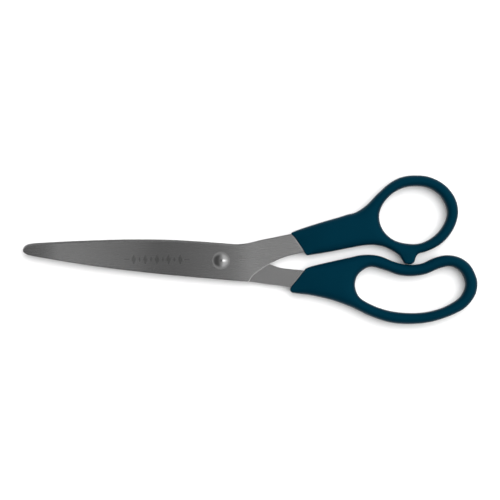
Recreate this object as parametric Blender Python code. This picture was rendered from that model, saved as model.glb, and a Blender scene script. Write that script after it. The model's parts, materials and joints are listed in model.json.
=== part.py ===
"""Office scissors, 8 inches (203 mm) long, closed and lying flat.

The frame: +X runs from the blade tips to the handles, +Y to the side of the thumb ring, and +Z out of
the front blade's outer face. The origin is the middle of the bounding box's bottom face.

There are five pieces. The front blade is above the back blade, and the rivet joins them. Each blade is one
stamping with its shank and its tang, and a plastic handle is moulded over each tang. The rivet is fixed in
the back blade, and the front blade and the thumb handle turn on it.

Lengths are in millimetres here, and turn into metres where a mesh is made.
"""

import math

import bmesh
import bpy
import numpy as np

MM = 0.001

# Heights
HANDLE_THICKNESS = 8.0
STOCK = 1.8  # thickness of the blade steel
BLADE_GAP = 0.2  # between the blades' inner faces
RUNNING_GAP = 0.2  # between the rivet and the blades
MOULD_GAP = 0.3  # between a tang and the plastic round it

MID_Z = HANDLE_THICKNESS / 2
FRONT_INNER_Z = MID_Z + BLADE_GAP / 2
FRONT_OUTER_Z = FRONT_INNER_Z + STOCK
BACK_INNER_Z = MID_Z - BLADE_GAP / 2
BACK_OUTER_Z = BACK_INNER_Z - STOCK

# The pivot
PIVOT = (-13.1, -4.9)
RIVET_SHANK_R = 2.0
RIVET_FLANGE_R = 3.95  # of the thin flange round the head's dome
RIVET_FLANGE_HEIGHT = 0.2
RIVET_DOME_R = 3.4
RIVET_HEAD_HEIGHT = 1.2
RIVET_TAIL_R = 3.0
RIVET_TAIL_HEIGHT = 0.8
RIVET_TAIL_EDGE = ((0.6, 0.0), (0.15, 0.2), (0.0, 0.45))  # inset from its radius, height above its end

# Grinding of the blades
BEVEL_WIDTH = 0.9  # of the bevel on the outer face along the cutting edge
EDGE_LAND = 0.25  # height of the flat that is left at the cutting edge
EASED = 0.3  # chamfer along the outer face's other edges
BEVEL_SHARE = 0.4  # the most of the width that the bevel takes where the blade is narrow
EASED_SHARE = 0.25  # and the most that the chamfer takes
HOLLOW = 0.15  # depth of the hollow ground into the inner face
HOLLOW_FULL_WIDTH = 8.0  # where the blade is narrower, the hollow is shallower
HOLLOW_SHAPE = ((0.85, 0.7), (0.5, 1.0), (0.15, 0.7))  # place across the width, share of the depth

# The rounding of the plastic handles
RING_ROUND = 1.9
NECK_ROUND = 2.4
STOP_ROUND = 0.7
MOUTH_ROUND = 0.3
MOUTH_THINNING = 0.84  # thickness at the mouth, as a share of the thickness at the rings
THINNING_STARTS = 42.0
THINNING_ENDS = 20.0

# The handles' anchorage
LOCK_HOLE_R = 1.3  # of the hole through a tang that the plastic fills
POCKET_START = 0.25  # how far a tang's pocket reaches out of the mouth, as a share of its first step
CUT_PAST = 2.0  # how far a cutter runs past the faces it cuts

# Blade outlines, as pairs of points across the blade, from the tip to the shank's end at the mouth:
# upper edge x, y, lower edge x, y, and how much of the grinding is there, from 1 on the blade to 0 on the shank.
FRONT_BLADE = [
    (-101.6, 0.35, -101.6, -0.6, 1),
    (-101.2, 1.25, -101.1, -1.4, 1),
    (-100.0, 2.15, -99.9, -2.15, 1),
    (-97.3, 2.8, -97.2, -2.85, 1),
    (-91.9, 3.15, -91.9, -3.8, 1),
    (-82.0, 3.7, -82.0, -5.5, 1),
    (-69.5, 4.2, -69.5, -7.4, 1),
    (-53.8, 4.6, -53.8, -9.4, 1),
    (-35.5, 4.4, -35.5, -11.35, 1),
    (-19.4, 3.45, -17.1, -13.0, 1),
    (-9.6, 2.7, -7.2, -13.85, 1),
    (-6.0, 2.45, -2.3, -14.2, 0.6),
    (-4.4, 2.5, -0.8, -14.3, 0.3),
    (-3.0, 2.65, 0.7, -12.1, 0),
    (-0.6, 3.0, 2.6, -10.4, 0),
    (1.7, 3.55, 5.0, -8.65, 0),
    (5.2, 4.45, 8.9, -6.35, 0),
    (9.3, 5.25, 12.55, -4.35, 0),
    (13.7, 6.15, 17.0, -2.8, 0),
    (17.95, 6.95, 23.6, -1.15, 0),
]
BACK_BLADE = [
    (-101.2, 0.3, -101.2, -0.5, 1),
    (-100.6, 1.2, -100.6, -1.0, 1),
    (-99.2, 1.95, -99.2, -1.7, 1),
    (-96.5, 2.65, -96.5, -2.3, 1),
    (-91.5, 3.2, -91.5, -3.1, 1),
    (-82.0, 3.5, -82.0, -4.7, 1),
    (-69.5, 3.8, -69.5, -6.55, 1),
    (-53.8, 4.1, -53.8, -8.5, 1),
    (-35.5, 3.9, -35.5, -10.65, 1),
    (-17.8, 2.8, -19.4, -12.2, 1),
    (-7.0, 1.8, -9.6, -13.1, 1),
    (-3.2, 1.4, -5.0, -13.7, 0.6),
    (-1.8, 1.25, -2.6, -14.05, 0.3),
    (0.0, -0.3, -1.0, -14.3, 0),
    (2.2, -2.4, 1.3, -14.55, 0),
    (5.2, -4.7, 3.2, -14.85, 0),
    (9.0, -6.6, 6.1, -15.25, 0),
    (13.0, -8.0, 9.7, -15.7, 0),
    (17.0, -8.6, 13.3, -16.1, 0),
    (23.75, -9.25, 17.75, -16.8, 0),
]
# Tangs, as the same pairs from the handle's mouth to the tang's end, and the place of each one's locking hole
FRONT_TANG = [(18.6, 5.2, 21.7, 0.5), (32.0, 7.9, 32.8, 3.0), (45.0, 10.6, 45.9, 6.9)]
FRONT_LOCK_HOLE = (36.0, 6.4)
BACK_TANG = [(22.4, -10.7, 18.8, -15.3), (31.0, -11.6, 30.6, -16.5), (41.0, -12.1, 41.0, -15.9)]
BACK_LOCK_HOLE = (33.5, -14.0)

# Handle outlines, clockwise from above, each starting on its straight mouth: x, y and the rounding there
THUMB_OUTLINE = [
    (22.7, 1.25, MOUTH_ROUND),
    (19.8, 5.35, MOUTH_ROUND),
    (18.3, 7.0, MOUTH_ROUND),
    (18.5, 7.5, MOUTH_ROUND),
    (20.0, 8.25, 0.8),
    (22.6, 9.25, 2.0),
    (31.2, 12.0, NECK_ROUND),
    (40.1, 14.6, NECK_ROUND),
    (43.6, 15.7, NECK_ROUND),
    (46.8, 16.5, NECK_ROUND),
    (51.3, 19.3, RING_ROUND),
    (56.9, 24.9, RING_ROUND),
    (62.5, 29.8, RING_ROUND),
    (67.5, 32.35, RING_ROUND),
    (73.7, 33.2, RING_ROUND),
    (80.4, 32.4, RING_ROUND),
    (87.1, 28.8, RING_ROUND),
    (91.6, 23.0, RING_ROUND),
    (92.95, 16.6, RING_ROUND),
    (91.3, 10.2, RING_ROUND),
    (87.2, 4.3, RING_ROUND),
    (82.65, 0.95, RING_ROUND),
    (78.25, -0.95, RING_ROUND),
    (75.0, -2.0, 1.6),
    (73.9, -3.7, 1.0),
    (73.3, -5.5, STOP_ROUND),
    (72.2, -6.35, STOP_ROUND),
    (70.6, -6.5, STOP_ROUND),
    (69.2, -6.2, STOP_ROUND),
    (68.3, -5.1, STOP_ROUND),
    (66.9, -2.9, 1.2),
    (64.7, -1.1, 1.8),
    (60.25, 1.15, RING_ROUND),
    (55.8, 2.1, RING_ROUND),
    (51.3, 2.0, NECK_ROUND),
    (44.65, 0.85, NECK_ROUND),
    (35.75, -0.9, NECK_ROUND),
    (29.2, -2.0, NECK_ROUND),
    (26.9, -2.35, 1.4),
    (25.3, -2.5, MOUTH_ROUND),
    (24.85, -2.15, MOUTH_ROUND),
]
THUMB_HOLE = [
    (57.6, 14.4, RING_ROUND),
    (58.9, 19.6, RING_ROUND),
    (62.6, 24.3, RING_ROUND),
    (67.85, 27.4, RING_ROUND),
    (73.7, 28.4, RING_ROUND),
    (79.6, 27.6, RING_ROUND),
    (84.9, 24.0, RING_ROUND),
    (88.0, 17.0, RING_ROUND),
    (86.1, 10.55, RING_ROUND),
    (81.6, 5.6, RING_ROUND),
    (76.0, 2.8, RING_ROUND),
    (70.2, 2.65, RING_ROUND),
    (64.0, 4.4, RING_ROUND),
    (59.5, 8.55, RING_ROUND),
]
FINGER_OUTLINE = [
    (20.25, -14.25, MOUTH_ROUND),
    (22.4, -11.55, MOUTH_ROUND),
    (24.2, -9.2, MOUTH_ROUND),
    (24.7, -8.55, MOUTH_ROUND),
    (26.4, -7.8, 1.4),
    (28.9, -7.05, NECK_ROUND),
    (35.7, -5.5, NECK_ROUND),
    (44.6, -3.5, NECK_ROUND),
    (49.1, -2.55, RING_ROUND),
    (53.6, -2.3, RING_ROUND),
    (58.05, -2.95, RING_ROUND),
    (64.75, -5.6, RING_ROUND),
    (70.6, -6.8, RING_ROUND),
    (76.3, -6.3, RING_ROUND),
    (82.6, -3.6, RING_ROUND),
    (88.2, -2.5, RING_ROUND),
    (93.8, -3.6, RING_ROUND),
    (98.3, -6.9, RING_ROUND),
    (101.0, -12.1, RING_ROUND),
    (101.6, -15.4, RING_ROUND),
    (100.5, -20.4, RING_ROUND),
    (96.2, -25.9, RING_ROUND),
    (89.4, -29.55, RING_ROUND),
    (80.45, -32.35, RING_ROUND),
    (71.4, -33.2, RING_ROUND),
    (62.5, -32.5, RING_ROUND),
    (53.6, -29.6, RING_ROUND),
    (44.6, -25.4, NECK_ROUND),
    (35.65, -22.25, NECK_ROUND),
    (26.65, -20.25, NECK_ROUND),
    (22.6, -19.75, NECK_ROUND),
    (20.2, -19.45, 1.4),
    (18.6, -19.1, 0.7),
    (17.8, -18.1, MOUTH_ROUND),
    (18.2, -16.8, MOUTH_ROUND),
]
FINGER_HOLE = [
    (46.8, -15.8, RING_ROUND),
    (48.1, -11.3, RING_ROUND),
    (53.3, -7.75, RING_ROUND),
    (60.3, -9.2, RING_ROUND),
    (66.0, -11.2, RING_ROUND),
    (71.4, -11.8, RING_ROUND),
    (78.25, -10.95, RING_ROUND),
    (84.95, -8.25, RING_ROUND),
    (89.85, -7.5, RING_ROUND),
    (94.2, -10.2, RING_ROUND),
    (96.1, -15.6, RING_ROUND),
    (93.8, -21.1, RING_ROUND),
    (87.05, -25.5, RING_ROUND),
    (79.25, -27.85, RING_ROUND),
    (71.4, -28.4, RING_ROUND),
    (62.55, -27.45, RING_ROUND),
    (54.75, -24.9, RING_ROUND),
    (48.6, -21.0, RING_ROUND),
]
# How finely curves are divided
BLADE_STEPS = 4
OUTLINE_STEPS = 4
HOLE_STEPS = 4
ROUND_STEPS = 4
TURNED_SIDES = 40
DOME_STEPS = 6


def clear_scene():
    for item in list(bpy.data.objects):
        bpy.data.objects.remove(item)


def make_material(name, colour, roughness, metallic):
    material = bpy.data.materials.new(name)
    material.use_nodes = True
    shader = material.node_tree.nodes["Principled BSDF"]
    shader.inputs["Base Color"].default_value = (*colour, 1.0)
    shader.inputs["Roughness"].default_value = roughness
    shader.inputs["Metallic"].default_value = metallic
    return material


def make_object(name, mesh_builder, material=None):
    """An object whose mesh, built in millimetres, is turned into metres with its faces pointing out."""
    bmesh.ops.recalc_face_normals(mesh_builder, faces=mesh_builder.faces)
    mesh = bpy.data.meshes.new(name)
    mesh_builder.to_mesh(mesh)
    mesh_builder.free()
    mesh.transform(((MM, 0, 0, 0), (0, MM, 0, 0), (0, 0, MM, 0), (0, 0, 0, 1)))
    mesh.shade_smooth()
    mesh.set_sharp_from_angle(angle=math.radians(35))
    if material:
        mesh.materials.append(material)
    piece = bpy.data.objects.new(name, mesh)
    bpy.context.scene.collection.objects.link(piece)
    return piece


def make_cutter(name, mesh_builder):
    cutter = make_object(name, mesh_builder)
    cutter.hide_render = True
    cutter.display_type = "WIRE"
    return cutter


def cut(piece, cutter):
    modifier = piece.modifiers.new(cutter.name, "BOOLEAN")
    modifier.operation = "DIFFERENCE"
    modifier.solver = "EXACT"
    modifier.object = cutter


def curve_through(points, steps, closed=False):
    """Points along a smooth curve through the given ones, with this many steps from each one to the next."""
    points = np.array(points, float)
    if closed:
        points = np.vstack([points[-1:], points, points[:2]])
    else:
        points = np.vstack([2 * points[0] - points[1], points, 2 * points[-1] - points[-2]])
    result = []
    for before, start, end, after in zip(points, points[1:], points[2:], points[3:]):
        # Centripetal spacing keeps the curve from overshooting where the points are uneven.
        gaps = [math.dist(a[:2], b[:2]) ** 0.5 for a, b in ((before, start), (start, end), (end, after))]
        leave = (start - before) / gaps[0] - (end - before) / (gaps[0] + gaps[1]) + (end - start) / gaps[1]
        arrive = (end - start) / gaps[1] - (after - start) / (gaps[1] + gaps[2]) + (after - end) / gaps[2]
        for t in np.arange(steps) / steps:
            ease_in, ease_out = t * t * (3 - 2 * t), t * (1 - t)
            blend = start + (end - start) * ease_in
            result.append(blend + gaps[1] * ease_out * ((1 - t) * leave - t * arrive))
    if not closed:
        result.append(points[-2])
    return result


def loft(rings):
    """A closed solid through rings of points, each ring with the same number of points."""
    build = bmesh.new()
    rows = [[build.verts.new(point) for point in ring] for ring in rings]
    for row, following in zip(rows, rows[1:]):
        for i in range(len(row)):
            j = (i + 1) % len(row)
            build.faces.new((row[i], row[j], following[j], following[i]))
    build.faces.new(rows[0])
    build.faces.new(rows[-1])
    return build


def turned(profile, centre, sides):
    """A solid turned about a vertical axis. The profile is (radius, z) from bottom to top."""
    rings = []
    for radius, z in profile:
        angles = [math.tau * k / sides for k in range(sides)]
        rings.append([(centre[0] + radius * math.cos(a), centre[1] + radius * math.sin(a), z) for a in angles])
    return loft(rings)


def blade_section(upper, lower, cutting, spine, grinding, inner_z, outer_z):
    """A section across a blade. cutting and spine are its two edges, in either order of upper and lower."""
    width = math.dist(upper, lower)
    across = (np.array(spine) - np.array(cutting)) / width
    out = math.copysign(1.0, outer_z - inner_z)

    def point(from_cutting, height):
        x, y = np.array(cutting) + across * from_cutting
        return (x, y, inner_z + out * height)

    bevel = min(EASED + (BEVEL_WIDTH - EASED) * grinding, width * BEVEL_SHARE)
    eased = min(EASED, width * EASED_SHARE)
    edge_height = (STOCK - EASED) + (EDGE_LAND - (STOCK - EASED)) * grinding
    hollow = HOLLOW * grinding * min(1.0, width / HOLLOW_FULL_WIDTH)
    return [
        point(0, 0),
        point(0, edge_height),
        point(bevel, STOCK),
        point(width - eased, STOCK),
        point(width, STOCK - EASED),
        point(width, 0),
        *(point(width * place, hollow * share) for place, share in HOLLOW_SHAPE),
    ]


def blade(name, pairs, tang, cutting_edge_is_upper, inner_z, outer_z, material):
    uppers = curve_through([p[:2] for p in pairs], BLADE_STEPS)
    lowers = curve_through([p[2:4] for p in pairs], BLADE_STEPS)
    grinding = np.interp(np.arange(len(uppers)) / BLADE_STEPS, range(len(pairs)), [p[4] for p in pairs])
    stations = list(zip(uppers, lowers, grinding)) + [(p[:2], p[2:], 0.0) for p in tang]
    rings = []
    for upper, lower, ground in stations:
        cutting, spine = (upper, lower) if cutting_edge_is_upper else (lower, upper)
        rings.append(blade_section(upper, lower, cutting, spine, ground, inner_z, outer_z))
    return make_object(name, loft(rings), material)


def round_cutter(name, centre, radius, low_z, high_z):
    return make_cutter(name, turned([(radius, low_z), (radius, high_z)], centre, TURNED_SIDES))


def make_blades(steel):
    front = blade("front_blade", FRONT_BLADE, FRONT_TANG, True, FRONT_INNER_Z, FRONT_OUTER_Z, steel)
    back = blade("back_blade", BACK_BLADE, BACK_TANG, False, BACK_INNER_Z, BACK_OUTER_Z, steel)
    low_z, high_z = BACK_OUTER_Z - CUT_PAST, FRONT_OUTER_Z + CUT_PAST
    bore = round_cutter("rivet_bore", PIVOT, RIVET_SHANK_R + RUNNING_GAP, low_z, high_z)
    for piece, lock_hole in ((front, FRONT_LOCK_HOLE), (back, BACK_LOCK_HOLE)):
        cut(piece, bore)
        cut(piece, round_cutter(piece.name + "_lock", lock_hole, LOCK_HOLE_R, low_z, high_z))


def make_rivet(steel):
    """One turned piece: the upset tail below, the shank through both blades, and the domed head on top."""
    tail_top = BACK_OUTER_Z - RUNNING_GAP
    head_bottom = FRONT_OUTER_Z + RUNNING_GAP
    tail_bottom = tail_top - RIVET_TAIL_HEIGHT
    profile = [(RIVET_TAIL_R - inset, tail_bottom + height) for inset, height in RIVET_TAIL_EDGE]
    profile += [
        (RIVET_TAIL_R, tail_top),
        (RIVET_SHANK_R, tail_top),
        (RIVET_SHANK_R, head_bottom),
        (RIVET_FLANGE_R, head_bottom),
        (RIVET_FLANGE_R, head_bottom + RIVET_FLANGE_HEIGHT),
    ]
    rise = RIVET_HEAD_HEIGHT - RIVET_FLANGE_HEIGHT
    sphere = (RIVET_DOME_R**2 + rise**2) / (2 * rise)
    for k in range(DOME_STEPS):
        r = RIVET_DOME_R * (1 - k / DOME_STEPS)
        profile.append((r, head_bottom + RIVET_HEAD_HEIGHT - sphere + math.sqrt(sphere**2 - r**2)))
    return make_object("pivot_rivet", turned(profile, PIVOT, TURNED_SIDES), steel)


def inward(outline, hole):
    """The direction into the material at each point of a clockwise outline, or of a clockwise hole."""
    flat = np.array(outline)[:, :2]
    along = np.roll(flat, -1, axis=0) - np.roll(flat, 1, axis=0)
    along /= np.linalg.norm(along, axis=1)[:, None]
    right = np.stack([along[:, 1], -along[:, 0]], axis=1)
    return -right if hole else right


def thinned(x, z):
    """A height moved towards the handle's middle height, where the handle narrows towards its mouth."""
    t = min(1.0, max(0.0, (THINNING_STARTS - x) / (THINNING_STARTS - THINNING_ENDS)))
    share = 1 - (1 - MOUTH_THINNING) * t * t * (3 - 2 * t)
    return MID_Z + (z - MID_Z) * share


def rounded_wall(build, outline, hole):
    """The rounded side of a handle along one outline. Returns the edges of its lowest and highest rows."""
    directions = inward(outline, hole)
    rows = []
    for top in (False, True):
        angles = [math.radians(90) * k / ROUND_STEPS for k in range(ROUND_STEPS + 1)]
        for angle in reversed(angles) if top else angles:
            row = []
            for (x, y, radius), (dx, dy) in zip(outline, directions):
                inset = radius * (1 - math.sin(angle))
                lift = radius * (1 - math.cos(angle))
                z = HANDLE_THICKNESS - lift if top else lift
                place = (x + dx * inset, y + dy * inset)
                row.append(build.verts.new((*place, thinned(place[0], z))))
            rows.append(row)
    for row, following in zip(rows, rows[1:]):
        for i in range(len(row)):
            j = (i + 1) % len(row)
            build.faces.new((row[i], row[j], following[j], following[i]))
    ends = []
    for row in (rows[0], rows[-1]):
        ends.append([build.edges.get((row[i], row[(i + 1) % len(row)])) for i in range(len(row))])
    return ends


def handle_body(outline, hole):
    build = bmesh.new()
    outer_low, outer_high = rounded_wall(build, curve_through(outline, OUTLINE_STEPS, closed=True), False)
    hole_low, hole_high = rounded_wall(build, curve_through(hole, HOLE_STEPS, closed=True), True)
    bmesh.ops.triangle_fill(build, use_beauty=True, edges=outer_low + hole_low)
    bmesh.ops.triangle_fill(build, use_beauty=True, edges=outer_high + hole_high)
    return build


def tang_pocket(name, mouth_pair, tang, lock_hole, low_z, high_z):
    """The room for a tang: its outline grown by the gap, less the plug of plastic through its locking hole."""
    rings = []
    stations = [mouth_pair] + list(tang)
    for upper_x, upper_y, lower_x, lower_y in stations:
        upper, lower = np.array((upper_x, upper_y)), np.array((lower_x, lower_y))
        across = (upper - lower) / np.linalg.norm(upper - lower)
        upper, lower = upper + across * MOULD_GAP, lower - across * MOULD_GAP
        if len(rings) == len(stations) - 1:
            upper, lower = upper + (MOULD_GAP, 0), lower + (MOULD_GAP, 0)
        low, high = low_z - MOULD_GAP, high_z + MOULD_GAP
        rings.append([(*upper, low), (*lower, low), (*lower, high), (*upper, high)])
    pocket = make_cutter(name, loft(rings))
    plug_r = LOCK_HOLE_R - MOULD_GAP
    plug = round_cutter(name + "_plug", lock_hole, plug_r, low_z - CUT_PAST, high_z + CUT_PAST)
    cut(pocket, plug)
    return pocket


def before_mouth(tang, reach):
    """The pair of points this far before a tang's first pair, in line with its start."""
    first, second = np.array(tang[0]), np.array(tang[1])
    return tuple(first - (second - first) * reach)


def make_handle(name, outline, hole, tang, lock_hole, low_z, high_z, plastic):
    handle = make_object(name, handle_body(outline, hole), plastic)
    mouth_pair = before_mouth(tang, POCKET_START)
    pocket = tang_pocket(name + "_pocket", mouth_pair, tang, lock_hole, low_z, high_z)
    cut(handle, pocket)


def make_handles(plastic):
    make_handle("thumb_handle", THUMB_OUTLINE, THUMB_HOLE, FRONT_TANG, FRONT_LOCK_HOLE,
                FRONT_INNER_Z, FRONT_OUTER_Z, plastic)
    make_handle("finger_handle", FINGER_OUTLINE, FINGER_HOLE, BACK_TANG, BACK_LOCK_HOLE,
                BACK_OUTER_Z, BACK_INNER_Z, plastic)


def main():
    clear_scene()
    steel = make_material("blade_steel", (0.18, 0.18, 0.18), 0.35, 1.0)
    polished = make_material("rivet_steel", (0.45, 0.45, 0.45), 0.15, 1.0)
    plastic = make_material("handle_plastic", (0.003, 0.03, 0.052), 0.4, 0.0)
    make_blades(steel)
    make_rivet(polished)
    make_handles(plastic)


main()
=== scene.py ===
"""Looks for the office scissors: fine meshes, materials, floor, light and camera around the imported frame.

The frame's axes: +X runs from the blade tips to the handles, +Y to the side of the thumb ring, +Z up.
Lengths are in millimetres here, and turn into metres where a mesh or an object is made.
"""

import json
import math

import bmesh
import bpy
import numpy as np
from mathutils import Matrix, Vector, geometry


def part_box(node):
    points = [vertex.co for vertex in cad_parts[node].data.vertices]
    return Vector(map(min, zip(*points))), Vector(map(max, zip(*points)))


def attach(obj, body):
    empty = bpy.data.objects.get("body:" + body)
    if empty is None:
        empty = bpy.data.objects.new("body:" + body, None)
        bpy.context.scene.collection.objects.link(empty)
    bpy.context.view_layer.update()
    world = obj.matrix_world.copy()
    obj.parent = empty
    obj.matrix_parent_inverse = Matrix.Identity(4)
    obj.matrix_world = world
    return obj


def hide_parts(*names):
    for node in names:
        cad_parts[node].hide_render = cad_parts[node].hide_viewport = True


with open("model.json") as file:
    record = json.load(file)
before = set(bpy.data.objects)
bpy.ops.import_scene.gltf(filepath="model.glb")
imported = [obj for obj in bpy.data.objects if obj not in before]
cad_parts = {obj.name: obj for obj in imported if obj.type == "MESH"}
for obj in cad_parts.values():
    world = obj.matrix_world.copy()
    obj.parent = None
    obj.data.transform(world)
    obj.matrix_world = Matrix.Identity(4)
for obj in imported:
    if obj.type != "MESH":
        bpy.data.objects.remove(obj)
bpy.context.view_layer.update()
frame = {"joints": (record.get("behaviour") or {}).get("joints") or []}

METRE = 1000  # millimetres
MM = 1 / METRE

# Places and heights that the frame gives
PIVOT = [METRE * c for c in frame["joints"][0]["pos_m"][:2]]


def heights(node):
    """The heights of a CAD node's underside and top."""
    low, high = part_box(node)
    return low.z * METRE, high.z * METRE


BACK_OUTER_Z, BACK_INNER_Z = heights("back_blade")
FRONT_INNER_Z, FRONT_OUTER_Z = heights("front_blade")
RIVET_LOW, RIVET_HIGH = heights("pivot_rivet")
HANDLE_LOW, HANDLE_HIGH = heights("thumb_handle")
MID_Z = (HANDLE_LOW + HANDLE_HIGH) / 2
STOCK = FRONT_OUTER_Z - FRONT_INNER_Z

# Blade outlines, as pairs of points across the blade, from the tip to the shank's end just inside the
# handle: upper edge x, y, lower edge x, y, and how much of the grinding is there, from 1 on the blade to 0
# on the shank
FRONT_BLADE = [
    (-101.6, 0.1, -101.6, -0.35, 1),
    (-101.5, 0.7, -101.48, -0.92, 1),
    (-101.2, 1.25, -101.1, -1.4, 1),
    (-100.0, 2.15, -99.9, -2.15, 1),
    (-97.3, 2.8, -97.2, -2.85, 1),
    (-91.9, 3.15, -91.9, -3.8, 1),
    (-82.0, 3.7, -82.0, -5.5, 1),
    (-69.5, 4.2, -69.5, -7.4, 1),
    (-53.8, 4.6, -53.8, -9.4, 1),
    (-35.5, 4.4, -35.5, -11.35, 1),
    (-19.4, 3.45, -17.1, -13.0, 1),
    (-9.6, 2.7, -7.2, -13.85, 1),
    (-6.0, 2.45, -2.3, -14.2, 0.6),
    (-4.4, 2.5, -0.8, -14.3, 0.3),
    (-3.0, 2.65, 0.7, -12.1, 0),
    (-0.6, 3.0, 2.6, -10.4, 0),
    (1.7, 3.55, 5.0, -8.65, 0),
    (5.2, 4.45, 8.9, -6.35, 0),
    (9.3, 5.25, 12.55, -4.35, 0),
    (13.7, 6.15, 17.0, -2.8, 0),
    (18.93, 7.15, 24.66, -0.94, 0),
]
BACK_BLADE = [
    (-101.2, 0.1, -101.2, -0.3, 1),
    (-101.05, 0.65, -101.05, -0.65, 1),
    (-100.6, 1.2, -100.6, -1.0, 1),
    (-99.2, 1.95, -99.2, -1.7, 1),
    (-96.5, 2.65, -96.5, -2.3, 1),
    (-91.5, 3.2, -91.5, -3.1, 1),
    (-82.0, 3.5, -82.0, -4.7, 1),
    (-69.5, 3.8, -69.5, -6.55, 1),
    (-53.8, 4.1, -53.8, -8.5, 1),
    (-35.5, 3.9, -35.5, -10.65, 1),
    (-17.8, 2.8, -19.4, -12.2, 1),
    (-7.0, 1.8, -9.6, -13.1, 1),
    (-3.2, 1.4, -5.0, -13.7, 0.6),
    (-1.8, 1.25, -2.6, -14.05, 0.3),
    (0.0, -0.3, -1.0, -14.3, 0),
    (2.2, -2.4, 1.3, -14.55, 0),
    (5.2, -4.7, 3.2, -14.85, 0),
    (9.0, -6.6, 6.1, -15.25, 0),
    (13.0, -8.0, 9.7, -15.7, 0),
    (17.0, -8.6, 13.3, -16.1, 0),
    (24.55, -9.35, 18.69, -16.93, 0),
]
# Tangs, as the same pairs, from the shank's shoulders to the tang's end
FRONT_TANG = [(20.2, 5.5, 23.4, 1.1), (32.0, 7.9, 32.8, 3.0), (45.0, 10.6, 45.9, 6.9)]
BACK_TANG = [(23.7, -10.6, 20.15, -15.25), (31.0, -11.6, 30.6, -16.5), (41.0, -12.1, 41.0, -15.9)]
TANG_FIT = 0.04  # room between a tang and the plastic

# Widths of the handles' rounding: on the rings, the necks, the stop's end, the mouths and the tip beside the
# thumb handle's mouth
RING = 2.3
NECK = 3.4
STOP = 0.8
MOUTH = 0.3
TIP = 0.15

# Handle outlines, clockwise from above, each starting on its straight mouth: x, y and the rounding's width
THUMB_OUTLINE = [
    (22.7, 1.25, MOUTH),
    (19.8, 5.35, MOUTH),
    (18.3, 7.0, TIP),
    (18.5, 7.5, TIP),
    (20.0, 8.25, 0.8),
    (22.6, 9.25, 2.0),
    (31.2, 12.0, NECK),
    (40.1, 14.6, NECK),
    (43.6, 15.7, NECK),
    (46.8, 16.5, NECK),
    (51.3, 19.3, RING),
    (56.9, 24.9, RING),
    (62.5, 29.8, RING),
    (67.5, 32.35, RING),
    (73.7, 33.2, RING),
    (80.4, 32.4, RING),
    (87.1, 28.8, RING),
    (91.6, 23.0, RING),
    (92.95, 16.6, RING),
    (91.3, 10.2, RING),
    (87.2, 4.3, RING),
    (82.65, 0.95, RING),
    (78.25, -0.95, 2.0),
    (75.0, -2.0, 1.6),
    (73.9, -3.7, 1.0),
    (73.3, -5.5, STOP),
    (72.2, -6.35, STOP),
    (70.6, -6.5, STOP),
    (69.2, -6.2, STOP),
    (68.3, -5.1, STOP),
    (66.9, -2.9, 1.2),
    (64.7, -1.1, 1.8),
    (60.25, 1.15, 2.2),
    (55.8, 2.1, 2.6),
    (51.3, 2.0, 3.0),
    (44.65, 0.85, NECK),
    (35.75, -0.9, NECK),
    (29.2, -2.0, 2.6),
    (26.9, -2.35, 1.4),
    (25.3, -2.5, MOUTH),
    (24.85, -2.15, MOUTH),
]
THUMB_HOLE = [
    (57.6, 14.4, RING),
    (58.9, 19.6, RING),
    (62.6, 24.3, RING),
    (67.85, 27.4, RING),
    (73.7, 28.4, RING),
    (79.6, 27.6, RING),
    (84.9, 24.0, RING),
    (88.0, 17.0, RING),
    (86.1, 10.55, RING),
    (81.6, 5.6, RING),
    (76.0, 2.8, RING),
    (70.2, 2.65, RING),
    (64.0, 4.4, RING),
    (59.5, 8.55, RING),
]
FINGER_OUTLINE = [
    (20.25, -14.25, MOUTH),
    (22.4, -11.55, MOUTH),
    (24.2, -9.2, MOUTH),
    (24.7, -8.55, MOUTH),
    (26.4, -7.8, 1.4),
    (28.9, -7.05, 2.6),
    (35.7, -5.5, NECK),
    (44.6, -3.5, NECK),
    (49.1, -2.55, 2.8),
    (53.6, -2.3, RING),
    (58.05, -2.95, RING),
    (64.75, -5.6, RING),
    (70.6, -6.8, RING),
    (76.3, -6.3, RING),
    (82.6, -3.6, RING),
    (88.2, -2.5, RING),
    (93.8, -3.6, RING),
    (98.3, -6.9, RING),
    (101.0, -12.1, RING),
    (101.6, -15.4, RING),
    (100.5, -20.4, RING),
    (96.2, -25.9, RING),
    (89.4, -29.55, RING),
    (80.45, -32.35, RING),
    (71.4, -33.2, RING),
    (62.5, -32.5, RING),
    (53.6, -29.6, RING),
    (44.6, -25.4, NECK),
    (35.65, -22.25, NECK),
    (26.65, -20.25, 2.6),
    (22.6, -19.75, 2.0),
    (20.2, -19.45, 1.2),
    (18.6, -19.1, 0.6),
    (17.8, -18.1, MOUTH),
    (18.2, -16.8, MOUTH),
]
FINGER_HOLE = [
    (46.8, -15.8, RING),
    (48.1, -11.3, RING),
    (53.3, -7.75, RING),
    (60.3, -9.2, RING),
    (66.0, -11.2, RING),
    (71.4, -11.8, RING),
    (78.25, -10.95, RING),
    (84.95, -8.25, RING),
    (89.85, -7.5, RING),
    (94.2, -10.2, RING),
    (96.1, -15.6, RING),
    (93.8, -21.1, RING),
    (87.05, -25.5, RING),
    (79.25, -27.85, RING),
    (71.4, -28.4, RING),
    (62.55, -27.45, RING),
    (54.75, -24.9, RING),
    (48.6, -21.0, RING),
]
OUTLINE_STEPS = 8
HOLE_STEPS = 12

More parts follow.
